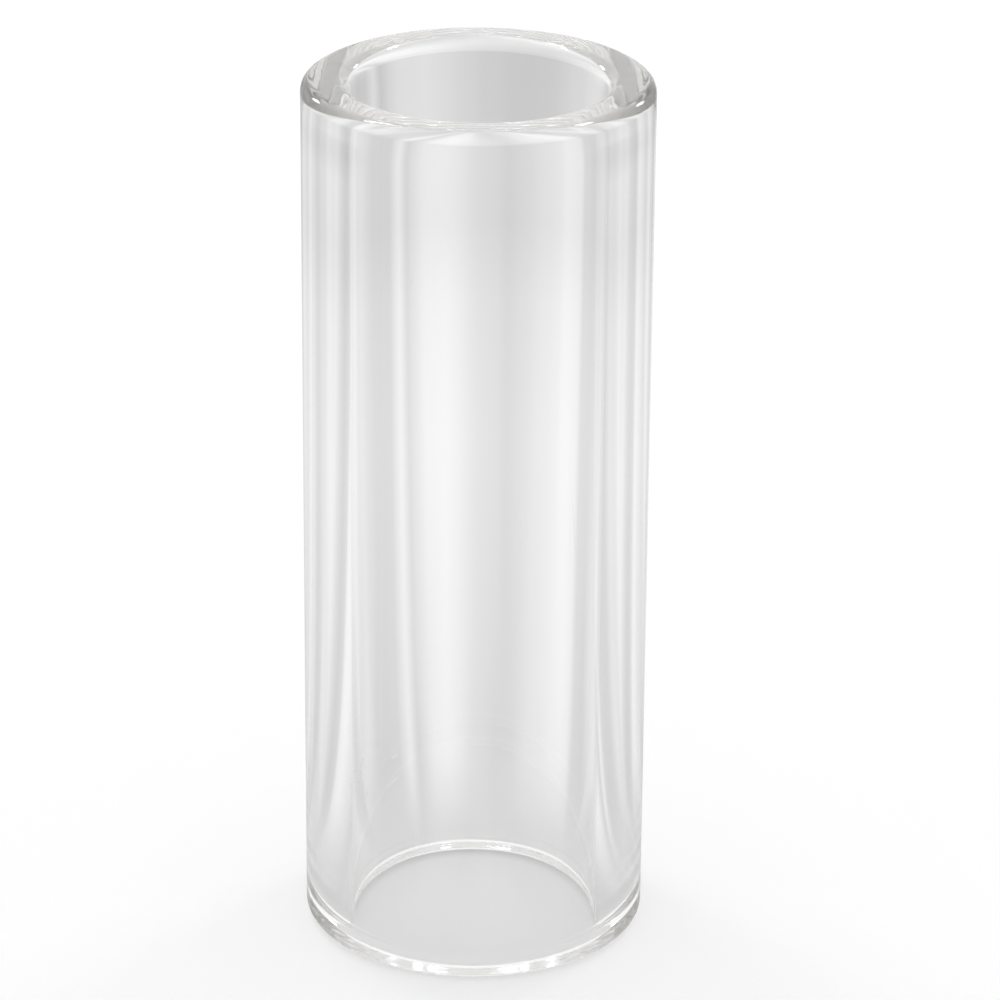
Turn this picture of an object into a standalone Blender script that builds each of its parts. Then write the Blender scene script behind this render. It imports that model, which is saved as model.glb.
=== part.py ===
"""Guitar slide: one length of heavy-walled clear glass tube, open at both ends.

The tube is cut square from drawn stock and its ends are flame polished, so each rim
is a narrow flat ring between two rounded edges. It stands on either rim.
Units are metres, +Z runs along the bore, and the origin is the middle of the lower rim.
"""

import math

import bpy

# Driving dimensions
LENGTH = 0.0690  # rim to rim
BORE_DIAMETER = 0.0194  # the finger's hole
WALL = 0.0036
OUTER_EDGE_RADIUS = 0.0010  # rounding where a rim meets the outside
BORE_EDGE_RADIUS = 0.0011  # rounding where a rim meets the bore

# How finely the round surfaces are cut into flats
TURN_STEPS = 96
EDGE_STEPS = 5

# What follows from the driving dimensions
BORE_RADIUS = BORE_DIAMETER / 2
OUTER_RADIUS = BORE_RADIUS + WALL

MERGE_DISTANCE = 0.00001
QUARTER_TURN = math.pi / 2


def remove_everything():
    for obj in list(bpy.data.objects):
        bpy.data.objects.remove(obj)


def rounded_corner(centre_x, centre_z, radius, start_angle):
    """Points of a quarter circle, turning clockwise in the XZ plane from start_angle."""
    points = []
    for step in range(EDGE_STEPS + 1):
        angle = start_angle - QUARTER_TURN * step / EDGE_STEPS
        points.append((centre_x + radius * math.cos(angle), centre_z + radius * math.sin(angle)))
    return points


def wall_section():
    """Outline of the wall cut through the axis, as (distance from the axis, height) points.

    It starts on the bore side of the upper rim, goes out over that rim, runs down the outside,
    comes back in under the lower rim and ends on the bore. The closing edge is the bore itself.
    """
    outside_x = OUTER_RADIUS - OUTER_EDGE_RADIUS
    bore_x = BORE_RADIUS + BORE_EDGE_RADIUS
    return (
        rounded_corner(bore_x, LENGTH - BORE_EDGE_RADIUS, BORE_EDGE_RADIUS, 2 * QUARTER_TURN)
        + rounded_corner(outside_x, LENGTH - OUTER_EDGE_RADIUS, OUTER_EDGE_RADIUS, QUARTER_TURN)
        + rounded_corner(outside_x, OUTER_EDGE_RADIUS, OUTER_EDGE_RADIUS, 0)
        + rounded_corner(bore_x, BORE_EDGE_RADIUS, BORE_EDGE_RADIUS, -QUARTER_TURN)
    )


def clear_glass():
    material = bpy.data.materials.new("clear_glass")
    material.use_nodes = True
    shader = material.node_tree.nodes["Principled BSDF"]
    shader.inputs["Base Color"].default_value = (0.97, 0.98, 0.97, 1)
    shader.inputs["Transmission Weight"].default_value = 1
    shader.inputs["Roughness"].default_value = 0.02
    shader.inputs["Metallic"].default_value = 0
    shader.inputs["IOR"].default_value = 1.474
    return material


def glass_tube():
    """The section turned once round the Z axis."""
    section = wall_section()
    corners = [(x, 0, z) for x, z in section]
    edges = [(n, (n + 1) % len(section)) for n in range(len(section))]
    mesh = bpy.data.meshes.new("glass_tube")
    mesh.from_pydata(corners, edges, [])
    tube = bpy.data.objects.new("glass_tube", mesh)
    bpy.context.scene.collection.objects.link(tube)

    turn = tube.modifiers.new("Turn round the bore", "SCREW")
    turn.axis = "Z"
    turn.angle = 2 * math.pi
    turn.steps = TURN_STEPS
    turn.render_steps = TURN_STEPS
    turn.use_merge_vertices = True
    turn.merge_threshold = MERGE_DISTANCE
    turn.use_smooth_shade = True

    mesh.materials.append(clear_glass())
    return tube


remove_everything()
glass_tube()
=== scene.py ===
import math
import bmesh
import bpy
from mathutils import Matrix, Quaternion, Vector, noise


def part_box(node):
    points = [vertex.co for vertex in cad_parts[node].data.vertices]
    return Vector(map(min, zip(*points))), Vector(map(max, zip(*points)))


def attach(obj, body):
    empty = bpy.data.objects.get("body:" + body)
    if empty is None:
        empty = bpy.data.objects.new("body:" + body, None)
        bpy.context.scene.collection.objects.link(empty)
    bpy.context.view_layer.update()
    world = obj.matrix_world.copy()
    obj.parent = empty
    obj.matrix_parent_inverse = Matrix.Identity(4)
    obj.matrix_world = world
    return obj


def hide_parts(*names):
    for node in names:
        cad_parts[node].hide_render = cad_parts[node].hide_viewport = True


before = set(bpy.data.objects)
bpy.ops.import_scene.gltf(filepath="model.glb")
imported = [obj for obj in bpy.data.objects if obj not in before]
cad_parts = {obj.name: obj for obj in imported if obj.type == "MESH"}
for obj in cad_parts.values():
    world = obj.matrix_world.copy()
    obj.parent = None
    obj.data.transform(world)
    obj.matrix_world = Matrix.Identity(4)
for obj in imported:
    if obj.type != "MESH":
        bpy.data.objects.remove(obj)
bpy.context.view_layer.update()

# The looks of a clear glass guitar slide. Metres, with the bore along Z and the lower rim at Z = 0.

tubeLow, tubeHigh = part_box("glass_tube")
tubeLength = tubeHigh.z - tubeLow.z
tubeRadius = (tubeHigh.x - tubeLow.x) / 2
scene = bpy.context.scene


def addObject(name, data):
    made = bpy.data.objects.new(name, data)
    scene.collection.objects.link(made)
    return made


def aimAt(thing, place, target):
    thing.location = place
    thing.rotation_mode = "QUATERNION"
    thing.rotation_quaternion = (Vector(target) - Vector(place)).to_track_quat("-Z", "Y")


def newMaterial(name):
    made = bpy.data.materials.new(name)
    made.use_nodes = True
    made.node_tree.nodes.clear()
    return made, made.node_tree.nodes, made.node_tree.links


def addMath(nodes, links, operation, first, second=None, clamp=False):
    node = nodes.new("ShaderNodeMath")
    node.operation = operation
    node.use_clamp = clamp
    for socket, value in zip(node.inputs, (first, second)):
        if isinstance(value, (int, float)):
            socket.default_value = value
        elif value is not None:
            links.new(value, socket)
    return node.outputs[0]


def addRamp(nodes, links, factor, stops, topLevel):
    # stops are (place from 0 to 1, level)
    node = nodes.new("ShaderNodeValToRGB")
    elements = node.color_ramp.elements
    elements.remove(elements[1])
    for number, (place, level) in enumerate(stops):
        element = elements[0] if number == 0 else elements.new(place)
        element.position = place
        element.color = (level / topLevel, level / topLevel, level / topLevel, 1)
    links.new(factor, node.inputs["Fac"])
    return node.outputs["Color"]


# Camera
cameraLook = {
    "distance": 14.175,  # in outside diameters, from the middle of the tube
    "elevation": 22.86,  # degrees above level
    "aimRight": 0.0695,  # the aim's offset from the middle, in outside diameters
    "aimUp": 0.0135,
    "roll": 0.0083,  # radians
    "lens": 176.0,
    "sensor": 36.0,
    "nearest": 0.01,  # nothing closer or farther than these is drawn
    "farthest": 20,
}


def makeCamera():
    look = cameraLook
    diameter = 2 * tubeRadius
    middle = Vector((0, 0, tubeLow.z + tubeLength / 2))
    elevation = math.radians(look["elevation"])
    away = Vector((0, -math.cos(elevation), math.sin(elevation)))
    camera = addObject("camera", bpy.data.cameras.new("camera"))
    aim = middle + diameter * Vector((look["aimRight"], 0, look["aimUp"]))
    aimAt(camera, middle + away * look["distance"] * diameter, aim)
    camera.rotation_quaternion = camera.rotation_quaternion @ Quaternion((0, 0, 1), look["roll"])
    camera.data.sensor_width = look["sensor"]
    camera.data.lens = look["lens"]
    camera.data.clip_start = look["nearest"]
    camera.data.clip_end = look["farthest"]
    scene.camera = camera
    print("camera is placed")


# Glass
glassShape = {
    "boreRadius": 0.0097,
    "outerEdge": 0.0010,  # rounding between a rim and the outside
    "boreEdge": 0.0011,  # rounding between a rim and the bore
    "turnSteps": 320,
    "edgeSteps": 12,
    "lengthSteps": 30,
}

glassWave = {
    "boreDepth": 0.00005,  # how far the bore surface wanders
    "outsideDepth": 0.00002,
    "perTurn": 1.6,
    "perLength": 0.5,
    "rimDepth": 0.00010,  # how far a rim dips
    "rimPerTurn": 1.3,
    "fineDepth": 0.000024,  # smaller ripples on top of that
    "finePerTurn": 11.0,
    "rimReach": 0.0022,  # the dips fade out this far from the end
    "boreMargin": 0.0001,  # a point this close to the bore radius is on the bore
    # each surface takes its waves from its own place in the noise
    "boreSeed": 3.1,
    "outsideSeed": 7.7,
    "upperSeed": 11.3,
    "lowerSeed": 17.9,
}

glassFinish = {
    "ior": 1.474,
    "roughness": 0.0,
    "markRoughness": 0.45,
    # hairline scratch and scuffs on the outside: degrees right of the front, height,
    # half the length, half the width, lean (sideways per unit of height)
    "marks": [
        (14.0, 0.0391, 0.0026, 0.000035, 0.00),
        (-41.0, 0.0165, 0.0012, 0.000050, 0.30),
        (-39.0, 0.0140, 0.0010, 0.000040, 0.28),
        (-20.0, 0.0120, 0.0009, 0.000035, 0.10),
        (128.0, 0.0300, 0.0020, 0.000040, 0.15),
        (-150.0, 0.0480, 0.0016, 0.000035, -0.12),
    ],
    "absorbColour": (0.42, 0.40, 0.36),
    "absorbDensity": 4.2,  # per metre
}


def arc(centreR, centreZ, radius, startAngle, steps):
    # a quarter turn, clockwise
    points = []
    for step in range(steps + 1):
        angle = startAngle - math.pi / 2 * step / steps
        points.append((centreR + radius * math.cos(angle), centreZ + radius * math.sin(angle)))
    return points


def wallSection():
    shape = glassShape
    bore, outerEdge, boreEdge = shape["boreRadius"], shape["outerEdge"], shape["boreEdge"]
    steps, lengthSteps = shape["edgeSteps"], shape["lengthSteps"]
    low, high = tubeLow.z, tubeHigh.z
    section = arc(bore + boreEdge, high - boreEdge, boreEdge, math.pi, steps)
    section += arc(tubeRadius - outerEdge, high - outerEdge, outerEdge, math.pi / 2, steps)
    for step in range(1, lengthSteps):
        drop = (tubeLength - 2 * outerEdge) * step / lengthSteps
        section.append((tubeRadius, high - outerEdge - drop))
    section += arc(tubeRadius - outerEdge, low + outerEdge, outerEdge, 0, steps)
    section += arc(bore + boreEdge, low + boreEdge, boreEdge, -math.pi / 2, steps)
    for step in range(1, lengthSteps):
        rise = (tubeLength - 2 * boreEdge) * step / lengthSteps
        section.append((bore, low + boreEdge + rise))
    return section


def ripple(across, along, height, perTurn, perLength, seed):
    # smooth noise from 0 to 1 round the tube
    place = Vector((across * perTurn, along * perTurn, height / tubeLength * perLength + seed))
    return 0.5 + 0.5 * max(-1, min(1, noise.noise(place)))


def unevenPoint(radius, height, across, along):
    # drawn tube and melted rims are never quite true, and everything stays inside the true shape
    wave = glassWave
    isBore = radius < glassShape["boreRadius"] + wave["boreMargin"]
    depth = wave["boreDepth"] if isBore else wave["outsideDepth"]
    seed = wave["boreSeed"] if isBore else wave["outsideSeed"]
    shift = depth * ripple(across, along, height, wave["perTurn"], wave["perLength"], seed)
    radius += shift if isBore else -shift
    isUpper = height > tubeLength / 2
    nearest = min(height - tubeLow.z, tubeHigh.z - height)
    share = max(0, 1 - nearest / wave["rimReach"])
    seed = wave["upperSeed"] if isUpper else wave["lowerSeed"]
    drop = share * wave["rimDepth"] * ripple(across, along, radius, wave["rimPerTurn"], 0, seed)
    outwards = radius / tubeRadius
    fine = ripple(across * outwards, along * outwards, 0, wave["finePerTurn"], 0, seed)
    drop += share * wave["fineDepth"] * fine
    height += -drop if isUpper else drop
    return radius * across, radius * along, height


def turnMesh(name, section, turnSteps):
    mesh = bmesh.new()
    rings = []
    for turn in range(turnSteps):
        angle = 2 * math.pi * turn / turnSteps
        across, along = math.cos(angle), math.sin(angle)
        rings.append([mesh.verts.new(unevenPoint(r, z, across, along)) for r, z in section])
    for turn in range(turnSteps):
        here, there = rings[turn], rings[(turn + 1) % turnSteps]
        for corner in range(len(section)):
            after = (corner + 1) % len(section)
            mesh.faces.new((here[corner], here[after], there[after], there[corner]))
    bmesh.ops.recalc_face_normals(mesh, faces=mesh.faces)
    data = bpy.data.meshes.new(name)
    mesh.to_mesh(data)
    mesh.free()
    data.shade_smooth()
    return data


def markMask(nodes, links):
    # 1 on a mark, 0 elsewhere
    finish = glassFinish
    place = nodes.new("ShaderNodeSeparateXYZ")
    links.new(nodes.new("ShaderNodeNewGeometry").outputs["Position"], place.inputs[0])
    across, along, height = place.outputs
    turn = addMath(nodes, links, "ARCTAN2", across, addMath(nodes, links, "MULTIPLY", along, -1))
    squares = addMath(nodes, links, "MULTIPLY", across, across)
    squares = addMath(nodes, links, "ADD", squares, addMath(nodes, links, "MULTIPLY", along, along))
    outside = (tubeRadius - glassShape["outerEdge"]) ** 2
    total = 0
    for degrees, middle, halfLength, halfWidth, lean in finish["marks"]:
        rise = addMath(nodes, links, "SUBTRACT", height, middle)
        aside = addMath(nodes, links, "SUBTRACT", turn, math.radians(degrees))
        aside = addMath(nodes, links, "MULTIPLY", aside, tubeRadius)
        aside = addMath(nodes, links, "SUBTRACT", aside, addMath(nodes, links, "MULTIPLY", rise, lean))
        near = addMath(nodes, links, "LESS_THAN", addMath(nodes, links, "ABSOLUTE", aside), halfWidth)
        level = addMath(nodes, links, "LESS_THAN", addMath(nodes, links, "ABSOLUTE", rise), halfLength)
        total = addMath(nodes, links, "ADD", addMath(nodes, links, "MULTIPLY", near, level), total)
    return addMath(nodes, links, "MULTIPLY", total, addMath(nodes, links, "GREATER_THAN", squares, outside))


def clearGlass():
    finish = glassFinish
    material, nodes, links = newMaterial("clear_glass")
    shader = nodes.new("ShaderNodeBsdfPrincipled")
    shader.inputs["Base Color"].default_value = (1, 1, 1, 1)
    shader.inputs["Transmission Weight"].default_value = 1
    roughness = addMath(nodes, links, "MULTIPLY", markMask(nodes, links), finish["markRoughness"])
    links.new(addMath(nodes, links, "ADD", roughness, finish["roughness"]), shader.inputs["Roughness"])
    shader.inputs["IOR"].default_value = finish["ior"]
    inside = nodes.new("ShaderNodeVolumeAbsorption")
    inside.inputs["Color"].default_value = (*finish["absorbColour"], 1)
    inside.inputs["Density"].default_value = finish["absorbDensity"]
    output = nodes.new("ShaderNodeOutputMaterial")
    links.new(shader.outputs[0], output.inputs["Surface"])
    links.new(inside.outputs[0], output.inputs["Volume"])
    return material


def makeGlass():
    slide = addObject("clear_tube", turnMesh("clear_tube", wallSection(), glassShape["turnSteps"]))
    slide.data.materials.append(clearGlass())
    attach(slide, "root")
    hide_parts("glass_tube")
    print("glass is made")


# Floor and light
floorLook = {
    "size": 6.0,
    "gap": 0.00005,  # between the floor and the lower rim
    "colour": 0.50,  # what the light on it gives, shadows and all
    "white": 0.52,  # what its glow adds where the camera looks straight at it
    # Painted light and shadow: how bright it looks through the glass, as painted streaks standing in for
    # those the tube would throw outwards, which show
    # as upright bands: degrees from the middle of each quarter, and the level there.
    "paintedStreaks": [
        (-45, 0.82), (-36, 0.88), (-30, 0.79), (-25, 0.80), (-20, 0.68), (-16, 0.68), (-13.2, 0.70),
        (-10.8, 0.90), (-9.2, 0.70), (-6.5, 0.90), (-4, 0.93), (-2, 0.87), (-0.5, 0.79), (1, 0.74),
        (3.5, 0.70), (6, 0.74), (8, 0.81), (11, 0.86), (13.5, 0.92), (16, 0.93), (18.5, 0.90),
        (20.5, 0.72), (25, 0.66), (30, 0.74), (36, 0.88), (45, 0.82),
    ],
    "quarter": 90,
    "streakCentre": 0.018,  # the streaks spread from this far beyond the axis
    "streaksFrom": 0.014,  # they fade in between these distances
    "streaksTo": 0.030,
    "plainLevel": 0.76,
    # Painted shade and light: the share of that level at each distance from the bore's axis, in metres.
    "fade": [
        (0.0000, 1.20), (0.0095, 1.20), (0.0100, 1.00), (0.0132, 1.00), (0.0140, 1.00), (0.018, 1.00),
        (0.045, 1.03), (0.100, 1.06), (0.140, 1.02), (0.165, 0.92), (0.187, 0.95),
        (0.200, 0.80), (0.220, 0.80), (0.300, 1.02),
    ],
    "paintedCarriedGlow": 0.34,  # painted glow under the wall, standing in for the light that the wall carries down
    "carriedDepth": 6,  # the painted glow shows only where more bounces than this mean that the wall carried it
    "carriedRadius": 0.0136,  # just past the outside of the tube
    "fadeEnd": 0.400,
    "topLevel": 1.5,  # the level that white stands for in the two ramps
}

lightLook = {
    "world": 0.79,  # the even light from all round; it looks white wherever it is seen
    "bounces": 112,  # the upper rim shows light carried up the wall, so paths are long
    "softboxes": [
        # azimuth in degrees to the right of straight behind, elevation in degrees, then metres
        {"azimuth": -40, "elevation": 55, "distance": 0.8, "width": 0.30, "height": 0.06, "radiance": 12},
        {"azimuth": 46, "elevation": 55, "distance": 0.8, "width": 0.20, "height": 0.06, "radiance": 12},
        {"azimuth": 42, "elevation": 24, "distance": 0.8, "width": 0.08, "height": 0.12, "radiance": 13},
        {"azimuth": -41, "elevation": 24, "distance": 0.8, "width": 0.08, "height": 0.12, "radiance": 13},
    ],
}


def floorMaterial():
    look = floorLook
    material, nodes, links = newMaterial("floor")
    place = nodes.new("ShaderNodeSeparateXYZ")
    links.new(nodes.new("ShaderNodeNewGeometry").outputs["Position"], place.inputs[0])
    across, along = place.outputs[0], place.outputs[1]
    # each quarter of the floor repeats the same painted light and shadow streaks
    width, depth = (addMath(nodes, links, "ABSOLUTE", side) for side in (across, along))
    onSide = addMath(nodes, links, "GREATER_THAN", width, depth)
    behind = addMath(nodes, links, "MULTIPLY", across, addMath(nodes, links, "SIGN", along))
    beside = addMath(nodes, links, "MULTIPLY", along, addMath(nodes, links, "SIGN", across))
    swap = addMath(nodes, links, "MULTIPLY", addMath(nodes, links, "ADD", behind, beside), onSide)
    aside = addMath(nodes, links, "SUBTRACT", behind, swap)
    outwards = addMath(nodes, links, "MAXIMUM", width, depth)
    outwards = addMath(nodes, links, "ADD", outwards, look["streakCentre"])
    turn = addMath(nodes, links, "ARCTAN2", aside, outwards)
    turn = addMath(nodes, links, "MULTIPLY", turn, 1 / math.radians(look["quarter"]))
    turn = addMath(nodes, links, "ADD", turn, 0.5)
    squares = addMath(nodes, links, "MULTIPLY", across, across)
    squares = addMath(nodes, links, "ADD", squares, addMath(nodes, links, "MULTIPLY", along, along))
    distance = addMath(nodes, links, "SQRT", squares)
    contrast = addMath(nodes, links, "SUBTRACT", distance, look["streaksFrom"])
    span = look["streaksTo"] - look["streaksFrom"]
    contrast = addMath(nodes, links, "MULTIPLY", contrast, 1 / span, clamp=True)
    distance = addMath(nodes, links, "MULTIPLY", distance, 1 / look["fadeEnd"], clamp=True)
    top = look["topLevel"]
    # painted light and shadow streaks, a glow that only gloss and glass rays see
    streakStops = [(degrees / look["quarter"] + 0.5, level) for degrees, level in look["paintedStreaks"]]
    paintedStreaks = addRamp(nodes, links, turn, streakStops, top)
    # painted shade and light by distance from the bore's axis
    fadeStops = [(place / look["fadeEnd"], level) for place, level in look["fade"]]
    fade = addRamp(nodes, links, distance, fadeStops, top)
    paintedStreaks = addMath(nodes, links, "MULTIPLY", paintedStreaks, top)
    paintedStreaks = addMath(nodes, links, "SUBTRACT", paintedStreaks, look["plainLevel"])
    paintedStreaks = addMath(nodes, links, "MULTIPLY", paintedStreaks, contrast)
    paintedStreaks = addMath(nodes, links, "ADD", paintedStreaks, look["plainLevel"])
    fade = addMath(nodes, links, "MULTIPLY", fade, top)
    level = addMath(nodes, links, "MULTIPLY", paintedStreaks, fade)
    level = addMath(nodes, links, "SUBTRACT", level, look["colour"])
    level = addMath(nodes, links, "MAXIMUM", level, 0)
    path = nodes.new("ShaderNodeLightPath")
    # painted glow under the wall, only on paths with many bounces
    paintedGlow = addMath(nodes, links, "GREATER_THAN", path.outputs["Ray Depth"], look["carriedDepth"])
    under = addMath(nodes, links, "LESS_THAN", distance, look["carriedRadius"] / look["fadeEnd"])
    paintedGlow = addMath(nodes, links, "MULTIPLY", paintedGlow, under)
    paintedGlow = addMath(nodes, links, "MULTIPLY", paintedGlow, look["paintedCarriedGlow"])
    level = addMath(nodes, links, "ADD", level, paintedGlow)
    isGloss, isGlass = path.outputs["Is Glossy Ray"], path.outputs["Is Transmission Ray"]
    inGlass = addMath(nodes, links, "MAXIMUM", isGloss, isGlass)
    inGlass = addMath(nodes, links, "MULTIPLY", inGlass, level)
    straight = addMath(nodes, links, "MULTIPLY", path.outputs["Is Camera Ray"], look["white"])
    matt = nodes.new("ShaderNodeBsdfDiffuse")
    matt.inputs["Color"].default_value = (look["colour"], look["colour"], look["colour"], 1)
    glow = nodes.new("ShaderNodeEmission")
    links.new(addMath(nodes, links, "ADD", inGlass, straight), glow.inputs["Strength"])
    both = nodes.new("ShaderNodeAddShader")
    links.new(matt.outputs[0], both.inputs[0])
    links.new(glow.outputs[0], both.inputs[1])
    output = nodes.new("ShaderNodeOutputMaterial")
    links.new(both.outputs[0], output.inputs["Surface"])
    return material


def makeFloor():
    half = floorLook["size"] / 2
    level = tubeLow.z - floorLook["gap"]
    data = bpy.data.meshes.new("floor")
    corners = [(-half, -half, level), (half, -half, level), (half, half, level), (-half, half, level)]
    data.from_pydata(corners, [], [(0, 1, 2, 3)])
    floor = addObject("floor", data)
    data.materials.append(floorMaterial())
    print("floor is made")


def makeLight():
    world = bpy.data.worlds.new("studio")
    scene.world = world
    world.use_nodes = True
    nodes, links = world.node_tree.nodes, world.node_tree.links
    sky = nodes["Background"]
    sky.inputs["Color"].default_value = (1, 1, 1, 1)
    path = nodes.new("ShaderNodeLightPath")
    isGloss, isGlass = path.outputs["Is Glossy Ray"], path.outputs["Is Transmission Ray"]
    inGlass = addMath(nodes, links, "MAXIMUM", isGloss, isGlass)
    seen = addMath(nodes, links, "MAXIMUM", path.outputs["Is Camera Ray"], inGlass)
    seen = addMath(nodes, links, "MULTIPLY", seen, 1 - lightLook["world"])
    links.new(addMath(nodes, links, "ADD", seen, lightLook["world"]), sky.inputs["Strength"])
    middle = Vector((0, 0, tubeLow.z + tubeLength / 2))
    for number, box in enumerate(lightLook["softboxes"], 1):
        lamp = bpy.data.lights.new(f"softbox_{number}", "AREA")
        lamp.shape = "RECTANGLE"
        lamp.size = box["width"]
        lamp.size_y = box["height"]
        lamp.energy = box["radiance"] * math.pi * box["width"] * box["height"]
        azimuth, elevation = math.radians(box["azimuth"]), math.radians(box["elevation"])
        level = math.cos(elevation)
        towards = Vector((math.sin(azimuth) * level, math.cos(azimuth) * level, math.sin(elevation)))
        softbox = addObject(lamp.name, lamp)
        softbox.visible_camera = False
        aimAt(softbox, middle + towards * box["distance"], middle)
    scene.cycles.max_bounces = lightLook["bounces"]
    scene.cycles.glossy_bounces = lightLook["bounces"]
    scene.cycles.transmission_bounces = lightLook["bounces"]
    print("light is placed")


makeCamera()
makeGlass()
makeFloor()
makeLight()
scene.view_settings.view_transform = "Standard"
